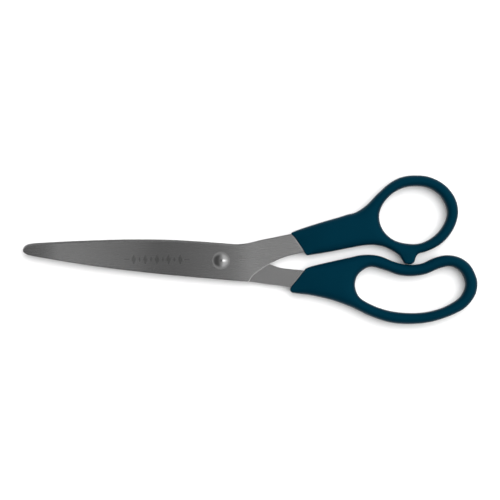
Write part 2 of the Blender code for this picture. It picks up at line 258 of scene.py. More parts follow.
# The handles' rounding, from a wall at mid-height up to the flat
ROUND_STEPS = 9
ROUND_RISE = 1.15  # height of the rounding over its width
ROUND_HIGHEST = 2.7
ROUND_SHARE = 0.41  # the most of the plastic's width that the rounding takes on each side
ROUND_EASING = 5  # points over which the rounding's width is evened out
TOP_TILT = math.radians(6)  # slope where the rounding meets the crowned top
DRAFT = 0.03  # the walls lean in by this much of the height, away from the parting line
SEAM_ROWS = ((-0.2, 0.0), (-0.07, 0.05), (0.07, 0.05), (0.2, 0.0))  # height off mid-height, and how proud
CROWN = 0.22  # rise of the top from its edge
CROWN_REACH = 4.5  # distance from the edge over which it rises
MOUTH_THINNING = 0.84  # thickness at the mouth, as a share of the thickness at the rings
THINNING_STARTS = 42.0
THINNING_ENDS = 20.0
CAP_SPACING = 1.3  # between the points that fill a handle's top and bottom
CAP_CLEARANCE = 0.55  # the nearest of them to an edge, as a share of the spacing
CAP_ROW_RISE = math.sqrt(0.75)  # between the rows of an even triangular pattern, as a share of the spacing
CAP_MERGE = 1e-7  # points closer than this count as one
EJECTOR_R = 1.7  # the round marks that ejector pins leave on the underside
EJECTOR_DEPTH = 0.08
EJECTOR_EDGE = 0.12
EJECTOR_SIDES = 40
THUMB_EJECTORS = ((30.5, 4.4), (49.0, 10.2))
FINGER_EJECTORS = ((29.5, -13.4), (41.0, -14.2))

# The blades' sections
BLADE_STEPS = 8
FACE_STEPS = 6  # across the outer face and the inner face
EDGE_STEPS = 5  # round each eased edge
BEVEL_WIDTH = 0.9
EDGE_LAND = 0.14  # height of the flat that is left at the cutting edge
EASED = 0.3  # radius of the outer face's other edges
INNER_EASED = 0.1
BESIDE_EDGE = 0.1  # from an eased edge to the first row of points on the face
HOLLOW = 0.15  # depth of the hollow ground into the inner face
HOLLOW_LAND = 0.7  # width of the flat along the cutting edge that the two blades cut with
HOLLOW_FULL = 8  # the hollow is shallower where the blade is narrower than this
BORE_R = 2.1
BORE_PAST = 1  # how far the bore's cutter reaches past the blades

# The most of a blade's width that each of these takes where the blade is narrow
EASED_SHARE = 0.25
BEVEL_SHARE = 0.4
BESIDE_SHARE = 0.1  # of the face between the eased edges
INNER_EASED_SHARE = 0.1
LAND_SHARE = 0.2

# The rivet
RIVET_SIDES = 96
SHANK_R = 2.0
SEAT = 0.02  # room between the rivet and the blades' outer faces
FLANGE_R = 3.95
FLANGE_HEIGHT = 0.2
FLANGE_WALL = 0.6  # the share of its height where its wall stands upright
FLANGE_EASED = 0.1
DOME_R = 3.4
DOME_FOOT = 0.06  # from the dome to the flange's flat
DOME_STEPS = 20
DIMPLE_R = 0.5
DIMPLE_DEPTH = 0.3
DIMPLE_RIM = 1.3  # where the dome ends, as a share of the dimple's radius
DIMPLE_ROWS = (1.0, 0.8, 0.5, 0.2)  # rows of points in the dimple, as shares of its radius
TAIL_R = 3.0
TAIL = (  # radius, and height over the rivet's lowest point
    (0, 0.14), (0.9, 0.1), (1.25, 0), (2.2, 0.02), (2.65, 0.12), (2.9, 0.32), (TAIL_R, 0.6),
)

# Finishes on a blade, as places in its list of materials
FACE, BEVEL, EDGE, INNER = range(4)

SHARP = math.radians(35)  # edges sharper than this stay sharp in the shading


def curve_through(points, steps, closed=False):
    """Points along a smooth curve through the given ones, with this many steps from each one to the next."""
    points = np.array(points, float)
    if closed:
        points = np.vstack([points[-1:], points, points[:2]])
    else:
        points = np.vstack([2 * points[0] - points[1], points, 2 * points[-1] - points[-2]])
    result = []
    for before, start, end, after in zip(points, points[1:], points[2:], points[3:]):
        # Centripetal spacing keeps the curve from overshooting where the points are uneven.
        gaps = [math.dist(a[:2], b[:2]) ** 0.5 for a, b in ((before, start), (start, end), (end, after))]
        leave = (start - before) / gaps[0] - (end - before) / (gaps[0] + gaps[1]) + (end - start) / gaps[1]
        arrive = (end - start) / gaps[1] - (after - start) / (gaps[1] + gaps[2]) + (after - end) / gaps[2]
        for t in np.arange(steps) / steps:
            ease_in, ease_out = t * t * (3 - 2 * t), t * (1 - t)
            blend = start + (end - start) * ease_in
            result.append(blend + gaps[1] * ease_out * ((1 - t) * leave - t * arrive))
    if not closed:
        result.append(points[-2])
    return np.array(result)


def make_object(name, points, faces, materials=(), finishes=None):
    """A mesh object from points in millimetres, with the place of each face's material in finishes."""
    mesh = bpy.data.meshes.new(name)
    mesh.from_pydata((np.array(points) * MM).tolist(), [], [tuple(map(int, f)) for f in faces])
    for material in materials:
        mesh.materials.append(material)
    if finishes is not None:
        mesh.polygons.foreach_set("material_index", finishes)
    mesh.update()
    piece = bpy.data.objects.new(name, mesh)
    bpy.context.scene.collection.objects.link(piece)
    return piece


def finish_mesh(piece):
    """Faces pointing out, and smooth shading apart from sharp edges."""
    build = bmesh.new()
    build.from_mesh(piece.data)
    bmesh.ops.recalc_face_normals(build, faces=build.faces)
    build.to_mesh(piece.data)
    build.free()
    piece.data.shade_smooth()
    piece.data.set_sharp_from_angle(angle=SHARP)


def cut(piece, cutter):
    """Takes the cutter's shape out of the piece's mesh, and removes the cutter."""
    for cut_object in (piece, cutter):
        finish_mesh(cut_object)
    modifier = piece.modifiers.new("cut", "BOOLEAN")
    modifier.operation = "DIFFERENCE"
    modifier.solver = "EXACT"
    modifier.object = cutter
    evaluated = piece.evaluated_get(bpy.context.evaluated_depsgraph_get())
    result = bpy.data.meshes.new_from_object(evaluated)
    piece.modifiers.clear()
    piece.data = result
    bpy.data.objects.remove(cutter)


def stitched(rows):
    """The points of closed rows one above the other, and the faces between them."""
    count = len(rows[0])
    faces = []
    for row in range(len(rows) - 1):
        for i in range(count):
            j = (i + 1) % count
            faces.append((row * count + i, row * count + j, (row + 1) * count + j, (row + 1) * count + i))
    return np.concatenate(rows), faces


def turned(name, profile, centre, sides, materials=()):
    """A solid turned about a vertical axis. The profile is (radius, z), from the axis below to that above."""
    angles = np.arange(sides) * math.tau / sides
    rows = [
        np.stack([centre[0] + r * np.cos(angles), centre[1] + r * np.sin(angles), np.full(sides, z)], axis=1)
        for r, z in profile[1:-1]
    ]
    points, faces = stitched(rows)
    points = np.vstack([points, (*centre, profile[0][1]), (*centre, profile[-1][1])])
    last = len(rows) * sides - sides
    for i in range(sides):
        j = (i + 1) % sides
        faces.append((j, i, len(points) - 2))
        faces.append((last + i, last + j, len(points) - 1))
    return make_object(name, points, faces, materials)


# Handles


def inward(outline, hole):
    """The direction into the material at each point of a clockwise outline, or of a clockwise hole."""
    along = np.roll(outline, -1, axis=0) - np.roll(outline, 1, axis=0)
    along /= np.linalg.norm(along, axis=1)[:, None]
    right = np.stack([along[:, 1], -along[:, 0]], axis=1)
    return -right if hole else right


def evened(values):
    """Each value averaged with its neighbours round a closed loop."""
    return sum(np.roll(values, k) for k in range(-ROUND_EASING, ROUND_EASING + 1)) / (2 * ROUND_EASING + 1)


def nearest(points, others):
    """The distance from each point to the nearest of the others."""
    return np.linalg.norm(points[:, None, :] - others[None, :, :], axis=2).min(axis=1)


def rounding_widths(outline, other):
    """The rounding's width at each point, no wider than the plastic allows."""
    wanted = outline[:, 2]
    allowed = ROUND_SHARE * nearest(outline[:, :2], other[:, :2])
    return np.minimum(wanted, evened(np.minimum(wanted, allowed)))


def thinned(x, z):
    """Heights moved towards the handle's middle height, where it narrows towards its mouth."""
    t = np.clip((THINNING_STARTS - x) / (THINNING_STARTS - THINNING_ENDS), 0, 1)
    return MID_Z + (z - MID_Z) * (1 - (1 - MOUTH_THINNING) * t * t * (3 - 2 * t))


def wall_rows(outline, widths, hole):
    """Rows of points up a handle's wall, from the edge of its underside to the edge of its top."""
    flat = outline[:, :2]
    directions = inward(flat, hole)
    rises = np.minimum(widths * ROUND_RISE, ROUND_HIGHEST)
    levels = []
    for k in range(ROUND_STEPS + 1):
        angle = math.radians(90) * k / ROUND_STEPS
        levels.append((widths * (1 - math.sin(angle)), HANDLE_LOW + rises * (1 - math.cos(angle))))
    for lift, proud in SEAM_ROWS:
        levels.append((np.full(len(flat), -proud), np.full(len(flat), MID_Z + lift)))
    for k in range(ROUND_STEPS, -1, -1):
        angle = TOP_TILT + (math.radians(90) - TOP_TILT) * k / ROUND_STEPS
        inset = widths * (1 - math.sin(angle)) / (1 - math.sin(TOP_TILT))
        drop = rises * (math.cos(TOP_TILT) - math.cos(angle))
        levels.append((inset, HANDLE_HIGH - CROWN - drop))
    rows = []
    for inset, z in levels:
        place = flat + directions * (inset + DRAFT * np.abs(z - MID_Z))[:, None]
        rows.append(np.column_stack([place, thinned(place[:, 0], z)]))
    return rows


def inside(points, loop):
    """Whether each point is inside a closed loop."""
    x, y = points[:, 0, None], points[:, 1, None]
    ax, ay = loop[:, 0], loop[:, 1]
    bx, by = np.roll(ax, -1), np.roll(ay, -1)
    crosses = (ay > y) != (by > y)
    with np.errstate(divide="ignore", invalid="ignore"):
        reach = ax + (y - ay) / (by - ay) * (bx - ax)
    return (crosses & (x < reach)).sum(axis=1) % 2 == 1


def fill(outer, hole, rings):
    """Points and triangles that fill the space between two loops, with rings inside it as edges. The points
    start with both loops' own."""
    loops = [outer, hole] + rings
    edges = []
    start = 0
    for loop in loops:
        edges += [(start + i, start + (i + 1) % len(loop)) for i in range(len(loop))]
        start += len(loop)
    low, high = outer.min(axis=0), outer.max(axis=0)
    lattice = []
    for row, y in enumerate(np.arange(low[1], high[1], CAP_SPACING * CAP_ROW_RISE)):
        for x in np.arange(low[0] + row % 2 * CAP_SPACING / 2, high[0], CAP_SPACING):
            lattice.append((x, y))
    lattice = np.array(lattice)
    bounds = np.concatenate(loops)
    clear = nearest(lattice, bounds) > CAP_SPACING * CAP_CLEARANCE
    kept = inside(lattice, outer) & ~inside(lattice, hole) & clear
    points = np.concatenate([bounds, lattice[kept]])
    found = geometry.delaunay_2d_cdt([Vector(p) for p in points], edges, [], 0, CAP_MERGE, False)
    faces = np.array([f for f in found[2]])
    middles = points[faces].mean(axis=1)
    return points, faces[inside(middles, outer) & ~inside(middles, hole)]


def make_handle(name, outline, hole, ejectors, shank, tang, steel_heights, material):
    """A handle with rounded walls, a crowned top, ejector marks below, and a slot for its blade's tang."""
    outline = curve_through(outline, OUTLINE_STEPS, closed=True)
    hole = curve_through(hole, HOLE_STEPS, closed=True)
    outer_rows = wall_rows(outline, rounding_widths(outline, hole), False)
    hole_rows = wall_rows(hole, rounding_widths(hole, outline), True)
    outer_points, outer_faces = stitched(outer_rows)
    hole_points, hole_faces = stitched(hole_rows)
    points = [outer_points, hole_points]
    faces = list(outer_faces) + [tuple(i + len(outer_points) for i in face) for face in hole_faces]
    count = len(outer_points) + len(hole_points)
    angles = np.arange(EJECTOR_SIDES) * math.tau / EJECTOR_SIDES
    circle = np.stack([np.cos(angles), np.sin(angles)], axis=1)
    ring_radii = (EJECTOR_R, EJECTOR_R - EJECTOR_EDGE)
    rings = [np.array(middle) + circle * r for middle in ejectors for r in ring_radii]
    for top in (False, True):
        outer_edge, hole_edge = (outer_rows[-1], hole_rows[-1]) if top else (outer_rows[0], hole_rows[0])
        flat, triangles = fill(outer_edge[:, :2], hole_edge[:, :2], [] if top else rings)
        own = len(outer_edge) + len(hole_edge)
        middle = flat[own:]
        if top:
            edge = np.clip(1 - nearest(middle, flat[:own]) / CROWN_REACH, 0, 1)
            z = HANDLE_HIGH - CROWN * edge**2
        else:
            sunk = nearest(middle, np.array(ejectors)) < EJECTOR_R - EJECTOR_EDGE / 2
            z = HANDLE_LOW + EJECTOR_DEPTH * sunk
        points.append(np.column_stack([middle, thinned(middle[:, 0], z)]))
        outer_start = len(outer_points) - len(outer_edge) if top else 0
        hole_start = len(outer_points) + (len(hole_points) - len(hole_edge) if top else 0)
        place = np.concatenate([
            outer_start + np.arange(len(outer_edge)),
            hole_start + np.arange(len(hole_edge)),
            count + np.arange(len(middle)),
        ])
        faces += [tuple(place[f]) for f in triangles]
        count += len(middle)
    handle = make_object(name, np.concatenate(points), faces, [material])
    cut(handle, tang_room(shank, tang, steel_heights))
    finish_mesh(handle)
    return handle


def tang_room(shank, tang, steel_heights):
    """The slot for a shank's end and its tang, from outside the handle's mouth."""
    stations = np.array([pair[:4] for pair in shank] + list(tang), float)
    low, high = steel_heights[0] - TANG_FIT, steel_heights[1] + TANG_FIT
    ends = (len(shank) - 1, len(stations) - 1)
    rows = []
    for place, (upper_x, upper_y, lower_x, lower_y) in enumerate(stations):
        upper, lower = np.array((upper_x, upper_y)), np.array((lower_x, lower_y))
        across = (upper - lower) / np.linalg.norm(upper - lower) * TANG_FIT
        past = np.array((-across[1], across[0])) if across[1] < 0 else np.array((across[1], -across[0]))
        past = past * (place in ends)
        upper, lower = upper + across + past, lower - across + past
        rows.append(np.array([(*upper, low), (*lower, low), (*lower, high), (*upper, high)]))
    points, faces = stitched(rows)
    faces += [(0, 1, 2, 3), tuple(len(points) - 4 + i for i in range(4))]
    return make_object("tang_room", points, faces)


# Blades


def section(width, ground):
    """Points round a blade's section: distance from the cutting edge, height over the inner face, and the
    finish of the strip that follows."""
    eased = min(EASED, width * EASED_SHARE)
    bevel = min(EASED + (BEVEL_WIDTH - EASED) * ground, width * BEVEL_SHARE)
    land = (STOCK - eased) + (EDGE_LAND - (STOCK - eased)) * ground
    hollow = HOLLOW * ground * min(1.0, width / HOLLOW_FULL)
    points = [(0.0, 0.0, EDGE)]
    for k in range(EDGE_STEPS + 1):
        t = k / EDGE_STEPS
        angle = math.radians(90) * t
        straight = np.array((bevel * t, land + (STOCK - land) * t))
        rounded = np.array((eased * (1 - math.cos(angle)), STOCK - eased * (1 - math.sin(angle))))
        across, height = rounded + (straight - rounded) * ground
        points.append((across, height, FACE if k == EDGE_STEPS else BEVEL if ground > 0 else EDGE))
    # Close rows beside both edges keep the shading between them flat.
    beside = min(BESIDE_EDGE, (width - eased - bevel) * BESIDE_SHARE)
    for across in np.linspace(bevel + beside, width - eased - beside, FACE_STEPS):
        points.append((across, STOCK, FACE))
    for k in range(EDGE_STEPS + 1):
        angle = math.radians(90) * k / EDGE_STEPS
        points.append((width - eased * (1 - math.sin(angle)), STOCK - eased * (1 - math.cos(angle)), EDGE))
    inner_eased = min(INNER_EASED, width * INNER_EASED_SHARE)
    points.append((width, inner_eased, EDGE))
    land = min(HOLLOW_LAND, width * LAND_SHARE)
    for k in range(FACE_STEPS + 1):
        t = k / FACE_STEPS
        place = width - inner_eased + (land - width + inner_eased) * t
        points.append((place, hollow * (1 - (2 * t - 1) ** 4), INNER))
    return points


def make_blade(name, pairs, tang, cutting_edge_is_upper, inner_z, outer_z, materials):
    """A blade with its shank and tang in one, rounded off at the tip and bored for the rivet."""
    uppers = curve_through([p[:2] for p in pairs], BLADE_STEPS)
    lowers = curve_through([p[2:4] for p in pairs], BLADE_STEPS)
    grinding = np.interp(np.arange(len(uppers)) / BLADE_STEPS, range(len(pairs)), [p[4] for p in pairs])
    stations = list(zip(uppers, lowers, grinding)) + [(np.array(p[:2]), np.array(p[2:]), 0.0) for p in tang]
    out = math.copysign(1.0, outer_z - inner_z)
    rows, finishes = [], []
    for upper, lower, ground in stations:
        cutting, spine = (upper, lower) if cutting_edge_is_upper else (lower, upper)
        width = np.linalg.norm(spine - cutting)
        across = (spine - cutting) / width
        shape = section(width, ground)
        # The outer face is eased at the tip as well.
        short = 1 - min(1.0, (upper[0] - uppers[0][0]) / EASED)
        top = STOCK - EASED * (1 - math.sqrt(1 - short**2))
        rows.append(np.array([(*(cutting + across * a), inner_z + out * min(h, top)) for a, h, _ in shape]))
        finishes += [finish for _, _, finish in shape]
    points, faces = stitched(rows)
    count = len(rows[0])
    finishes = finishes[: len(faces)] + [EDGE, EDGE]
    faces += [tuple(range(count)), tuple(range(len(points) - count, len(points)))]
    blade = make_object(name, points, faces, materials, finishes)
    bore_low, bore_high = BACK_OUTER_Z - BORE_PAST, FRONT_OUTER_Z + BORE_PAST
    bore = [(0, bore_low), (BORE_R, bore_low), (BORE_R, bore_high), (0, bore_high)]
    cut(blade, turned("bore", bore, PIVOT, RIVET_SIDES))
    finish_mesh(blade)
    return blade


def make_rivet(material):
    """The upset tail below, the shank through both blades, and the flanged and domed head on top."""
    tail_top = BACK_OUTER_Z - SEAT
    head_low = FRONT_OUTER_Z + SEAT
    dome_low = head_low + FLANGE_HEIGHT
    profile = [(r, RIVET_LOW + height) for r, height in TAIL]
    profile += [
        (TAIL_R, tail_top),
        (SHANK_R, tail_top),
        (SHANK_R, head_low),
        (FLANGE_R, head_low),
        (FLANGE_R, head_low + FLANGE_HEIGHT * FLANGE_WALL),
        (FLANGE_R - FLANGE_EASED, dome_low),
        (DOME_R + DOME_FOOT, dome_low),
    ]
    rise = RIVET_HIGH - dome_low
    for k in range(DOME_STEPS):
        r = DOME_R * math.cos(math.radians(90) * k / DOME_STEPS)
        if r < DIMPLE_R * DIMPLE_RIM:
            break
        profile.append((r, dome_low + rise * dome_share(r)))
    for share in DIMPLE_ROWS:
        r = DIMPLE_R * share
        profile.append((r, dome_low + rise * dome_share(r) - DIMPLE_DEPTH * (1 - share**2)))
    profile.append((0, RIVET_HIGH - DIMPLE_DEPTH))
    rivet = turned("rivet_detail", profile, PIVOT, RIVET_SIDES, [material])
    finish_mesh(rivet)
    return rivet


def dome_share(r):
    """Height of the dome over its foot, as a share of its rise: that of a cap 1 mm high, cut off a sphere."""
    sphere = (DOME_R**2 + 1.0) / 2
    return math.sqrt(sphere**2 - r**2) - (sphere - 1.0)


# Materials


class Nodes:
    """A material's or world's nodes, made and linked with short calls."""

    def __init__(self, tree):
        self.tree = tree

    def add(self, kind, inputs=None, **settings):
        """A new node with these settings, its inputs set or linked."""
        node = self.tree.nodes.new("ShaderNode" + kind)
        for key, value in settings.items():
            setattr(node, key, value)
        for key, value in (inputs or {}).items():
            self.feed(node.inputs[key], value)
        return node

    def feed(self, socket, value):
        """Links the socket to another node's output, or sets it."""
        if isinstance(value, bpy.types.NodeSocket):
            self.tree.links.new(value, socket)
        else:
            socket.default_value = value

    def math(self, operation, *values, clamp=False):
        """The result of a math node."""
        node = self.add("Math", operation=operation, use_clamp=clamp)
        for socket, value in zip(node.inputs, values):
            self.feed(socket, value)
        return node.outputs[0]

    def ramp(self, value, low, high, out_low=0.0, out_high=1.0):
        """A smooth step of value from low to high."""
        inputs = {"Value": value, "From Min": low, "From Max": high, "To Min": out_low, "To Max": out_high}
        return self.add("MapRange", inputs, interpolation_type="SMOOTHSTEP").outputs[0]

    def curve(self, value, stops):
        """A smooth curve along (place, level) stops, read at a value."""
        low, high = stops[0][0], stops[-1][0]
        share = self.add("MapRange", {"Value": value, "From Min": low, "From Max": high}).outputs[0]
        node = self.add("ValToRGB", {"Fac": share})
        node.color_ramp.interpolation = "B_SPLINE"
        elements = node.color_ramp.elements
        while len(elements) < len(stops):
            elements.new(0.5)
        for element, (place, _) in zip(elements, stops):
            element.position = (place - low) / (high - low)
        for element, (_, level) in zip(elements, stops):
            element.color = (level, level, level, 1)
        return node.outputs["Color"]

    def millimetres(self):
        """The place on the object, in millimetres."""
        place = self.add("TexCoord").outputs["Object"]
        return self.add("VectorMath", {0: place, 1: (METRE, METRE, METRE)}, operation="MULTIPLY").outputs[0]

    def distance(self, place, middle):
        """The distance from a place to a point, seen from above."""
        flat = self.add("VectorMath", {0: place, 1: (1, 1, 0)}, operation="MULTIPLY").outputs[0]
        return self.add("VectorMath", {0: flat, 1: (*middle, 0)}, operation="DISTANCE").outputs["Value"]

    def noise(self, place, scale, detail, roughness):
        """Noise from 0 to 1 with its own scale along each axis."""
        scaled = self.add("VectorMath", {0: place, 1: scale}, operation="MULTIPLY").outputs[0]
        inputs = {"Vector": scaled, "Scale": 1.0, "Detail": detail, "Roughness": roughness}
        return self.add("TexNoise", inputs, noise_dimensions="3D").outputs["Fac"]

    def around_one(self, value, amount):
        """A value from 0 to 1 turned into a factor near 1."""
        return self.math("MULTIPLY_ADD", value, 2 * amount, 1 - amount)

    def grey(self, value):
        """A colour that is equally light in red, green and blue."""
        return self.add("CombineColor", {"Red": value, "Green": value, "Blue": value}).outputs[0]


def new_material(name):
    """A material, its nodes and its shader."""
    material = bpy.data.materials.new(name)
    material.use_nodes = True
    nodes = Nodes(material.node_tree)
    shader = material.node_tree.nodes["Principled BSDF"]
    return material, nodes, shader


# How light the steel's satin face and its bevel are along the blade: x, and the tone there. The face's light
# and dark stretches are painted reflection, and the bevel's dark tone is painted shade
FACE_PAINTED_REFLECTION = (
    (-101.6, 0.31), (-93.0, 0.39), (-89.0, 0.47), (-85.0, 0.63), (-72.0, 0.52), (-60.0, 0.45),
    (-52.0, 0.41), (-44.0, 0.3), (-36.0, 0.29), (-26.0, 0.32), (-14.0, 0.39), (-6.0, 0.47),
    (0.0, 0.65), (8.0, 0.58), (25.0, 0.6),
)
# The bevel's dark tone along the blade is painted shade.
BEVEL_PAINTED_SHADE = (
    (-101.6, 0.06), (-92.0, 0.06), (-80.0, 0.055), (-30.0, 0.06), (-14.0, 0.08), (-6.0, 0.12), (25.0, 0.16),
)

# Noises in the steel: scale along, across and up, then detail and roughness
LONG_STREAKS = ((0.03, 5.0, 5.0), 4.0, 0.6)
FINE_STREAKS = ((0.12, 22.0, 22.0), 2.0, 0.6)
CLOUDS = ((0.08, 0.14, 0.14), 2.0, 0.5)
CLOUD_AMOUNT = 0.05  # how far the clouds change the steel's tone
ROUGH_AMOUNT = 0.18  # how far the fine streaks change its roughness
RELIEF_SHARES = (0.6, 0.4)  # of the long and the fine streaks in its bump
BUMP_DEPTH = 0.00002  # in metres

# A painted highlight lies in a line on the steel close to the plastic: the normal of the plastic's mouth
# and its distance along that, the line's distance from the mouth, its fading to each side, and its gain
THUMB_MOUTH_HIGHLIGHT = (0.817, 0.578, 19.27)
FINGER_MOUTH_HIGHLIGHT = (0.792, -0.611, 24.8)
MOUTH_HIGHLIGHT_AT = 0.22
MOUTH_HIGHLIGHT_HALF = (0.12, 0.4)
MOUTH_HIGHLIGHT_GAIN = 0.45

# A painted highlight lies on the front blade's heel too, on the rounding along its edge: its middle, its
# fading away from that, its fading under the outer face, as shares of the rounding's radius, and its gain
HEEL_HIGHLIGHT_MIDDLE = (4.0, -9.6)
HEEL_HIGHLIGHT_FADING = (6.0, 8.0)
HEEL_HIGHLIGHT_RISE = (1.5, 0.8)
HEEL_HIGHLIGHT_GAIN = 2.2

# What etching does to the steel's tone and roughness
ETCHED_DARKER = 0.34
ETCHED_ROUGHER = 0.25


def steel(name, tone, curve, roughness, streaks, grain, ornament=False, mouth=None, heel=False):
    """Stainless steel ground lengthwise, with a curve of tones along x, which paints reflection and shade on
    it.
    streaks and grain say how strong the streaks in its colour and its bump are. mouth and heel add painted
    highlights."""
    material, nodes, shader = new_material(name)
    place = nodes.millimetres()
    axes = nodes.add("SeparateXYZ", {0: place}).outputs
    long_streaks = nodes.noise(place, *LONG_STREAKS)
    fine_streaks = nodes.noise(place, *FINE_STREAKS)
    clouds = nodes.around_one(nodes.noise(place, *CLOUDS), CLOUD_AMOUNT)
    value = nodes.math("MULTIPLY", nodes.around_one(long_streaks, streaks), clouds)
    value = nodes.math("MULTIPLY", value, tone)
    if curve:
        value = nodes.math("MULTIPLY", value, nodes.curve(axes["X"], curve))
    # A painted highlight in a line on the steel beside the plastic's mouth.
    if mouth:
        *normal, mouth_distance = mouth
        along = nodes.add("VectorMath", {0: place, 1: (*normal, 0)}, operation="DOT_PRODUCT").outputs["Value"]
        outside = nodes.math("SUBTRACT", mouth_distance, along)
        highlight = nodes.ramp(nodes.math("ABSOLUTE", nodes.math("SUBTRACT", outside, MOUTH_HIGHLIGHT_AT)), *MOUTH_HIGHLIGHT_HALF)
        gain = nodes.math("MULTIPLY_ADD", highlight, -MOUTH_HIGHLIGHT_GAIN, 1 + MOUTH_HIGHLIGHT_GAIN)
        value = nodes.math("MULTIPLY", value, gain)
    # A painted highlight on the front blade's heel, along its rounded edge.
    if heel:
        rounding = nodes.ramp(axes["Z"], *(FRONT_OUTER_Z - share * EASED for share in HEEL_HIGHLIGHT_RISE))
        highlight = nodes.ramp(nodes.distance(place, HEEL_HIGHLIGHT_MIDDLE), *HEEL_HIGHLIGHT_FADING, HEEL_HIGHLIGHT_GAIN, 0.0)
        gain = nodes.math("MULTIPLY", highlight, rounding)
        value = nodes.math("MULTIPLY", value, nodes.math("ADD", gain, 1.0))
    if ornament:
        etched = etched_band(nodes, axes)
        value = nodes.math("MULTIPLY", value, nodes.math("MULTIPLY_ADD", etched, -ETCHED_DARKER, 1.0))
        roughness = nodes.math("MULTIPLY_ADD", etched, ETCHED_ROUGHER, roughness)
    nodes.feed(shader.inputs["Base Color"], nodes.grey(value))
    shader.inputs["Metallic"].default_value = 1.0
    rough = nodes.math("MULTIPLY", nodes.around_one(fine_streaks, ROUGH_AMOUNT), roughness)
    nodes.feed(shader.inputs["Roughness"], rough)
    long_relief = nodes.math("MULTIPLY", long_streaks, RELIEF_SHARES[0])
    fine_relief = nodes.math("MULTIPLY", fine_streaks, RELIEF_SHARES[1])
    relief = nodes.math("ADD", long_relief, fine_relief)
    bump = nodes.add("Bump", {"Strength": grain, "Distance": BUMP_DEPTH, "Height": relief})
    nodes.feed(shader.inputs["Normal"], bump.outputs[0])
    return material


# The etched band on the front blade: a plain row of lozenges, large and small in turn, between two short
# lines. Distances along it are from its middle.
BAND_MIDDLE = (-41.7, -4.4)
BAND_HALF = 11.7  # half of the row's length, which is 9 times the pitch
BAND_PITCH = 2.6
LOZENGE_HALF = (1.0, 2.3)  # half of a large lozenge's length and width
SMALL_LOZENGE = 0.5  # a small one's size, as a share of a large one's
BAND_LINE_START = BAND_HALF + 0.5
BAND_LINE_END = 14.6
BAND_LINE_HALF = 0.16  # half of a line's width


def etched_band(nodes, axes):
    """1 where the front blade is etched."""
    along = nodes.math("SUBTRACT", axes["X"], BAND_MIDDLE[0])
    aside = nodes.math("ABSOLUTE", nodes.math("SUBTRACT", axes["Y"], BAND_MIDDLE[1]))
    reach = nodes.math("ABSOLUTE", along)
    step = nodes.math("DIVIDE", nodes.math("ADD", along, BAND_HALF), BAND_PITCH)
    cell = nodes.math("ABSOLUTE", nodes.math("SUBTRACT", nodes.math("FRACT", step), 0.5))
    odd = nodes.math("MODULO", nodes.math("FLOOR", step), 2.0)
    size = nodes.math("MULTIPLY_ADD", odd, SMALL_LOZENGE - 1, 1.0)
    lozenge_along = nodes.math("MULTIPLY", cell, BAND_PITCH / LOZENGE_HALF[0])
    lozenge_aside = nodes.math("DIVIDE", aside, LOZENGE_HALF[1])
    in_lozenge = nodes.math("LESS_THAN", nodes.math("ADD", lozenge_along, lozenge_aside), size)
    in_row = nodes.math("MULTIPLY", in_lozenge, nodes.math("LESS_THAN", reach, BAND_HALF))
    past_start = nodes.math("GREATER_THAN", reach, BAND_LINE_START)
    in_line = nodes.math("MULTIPLY", nodes.math("LESS_THAN", aside, BAND_LINE_HALF), past_start)
    in_line = nodes.math("MULTIPLY", in_line, nodes.math("LESS_THAN", reach, BAND_LINE_END))
    outer = nodes.math("GREATER_THAN", axes["Z"], (FRONT_INNER_Z + FRONT_OUTER_Z) / 2)
    return nodes.math("MULTIPLY", nodes.math("ADD", in_row, in_line, clamp=True), outer)


# The handles' colour, and its painted shading along them, lighter at the throats and darker towards the
# mouths: x, and the tone there
PLASTIC_COLOUR = (0.0, 0.016, 0.03)
PLASTIC_PAINTED_SHADING = (
    (10, 0.84), (22, 0.87), (34, 0.98), (42, 1.1), (48, 1.24), (54, 1.12), (62, 1.0), (78, 0.97), (110, 1.0),
)
PLASTIC_FLOW = ((0.05, 0.09, 0.09), 2.0, 0.5)  # noises: scale along, across and up, then detail and roughness
PLASTIC_GRAIN = ((5.0, 5.0, 5.0), 2.0, 0.5)
PLASTIC_SMEARS = ((0.3, 0.3, 0.3), 3.0, 0.6)
FLOW_AMOUNT = 0.06  # how far the flow changes the colour
SMEAR_AMOUNT = 0.12  # how far the smears change the roughness
PLASTIC_ROUGHNESS = 0.42
PLASTIC_GLOSS = 0.12
PLASTIC_GLOSS_TINT = (0.1, 0.75, 1.0, 1)
GRAIN_STRENGTH = 0.35


def plastic(name):
    """Smooth moulded plastic, with a very fine grain, a little flow in its colour, and painted shading along
    x.
    """
    material, nodes, shader = new_material(name)
    place = nodes.millimetres()
    flow = nodes.around_one(nodes.noise(place, *PLASTIC_FLOW), FLOW_AMOUNT)
    grain = nodes.noise(place, *PLASTIC_GRAIN)
    smears = nodes.around_one(nodes.noise(place, *PLASTIC_SMEARS), SMEAR_AMOUNT)
    x = nodes.add("SeparateXYZ", {0: place}).outputs["X"]
    # The flow is the plastic's own colour; the curve along x is painted shading.
    light = nodes.math("MULTIPLY", flow, nodes.curve(x, PLASTIC_PAINTED_SHADING))
    colour = nodes.add("VectorMath", {0: PLASTIC_COLOUR, "Scale": light}, operation="SCALE")
    nodes.feed(shader.inputs["Base Color"], colour.outputs[0])
    nodes.feed(shader.inputs["Roughness"], nodes.math("MULTIPLY", smears, PLASTIC_ROUGHNESS))
    shader.inputs["Specular IOR Level"].default_value = PLASTIC_GLOSS
    shader.inputs["Specular Tint"].default_value = PLASTIC_GLOSS_TINT
    bump = nodes.add("Bump", {"Strength": GRAIN_STRENGTH, "Distance": BUMP_DEPTH, "Height": grain})
    nodes.feed(shader.inputs["Normal"], bump.outputs[0])
    return material


# The rivet
RIVET_TONE = 0.62
RIVET_ROUGHNESS = 0.12
SCUFFS = ((3.0, 3.0, 3.0), 3.0, 0.6)  # a noise: scale along, across and up, then detail and roughness
SCUFFED_TONE = 0.06  # how far the scuffs change the tone
SCUFFED_ROUGHNESS = 0.08  # how much rougher they are
# Painted shade in the head's centre mark: how much darker it is, and its fading.
MARK_SHADE_DARKER = 0.35
MARK_SHADE_FADING = (0.7, 1.3)  # as shares of the centre mark's radius


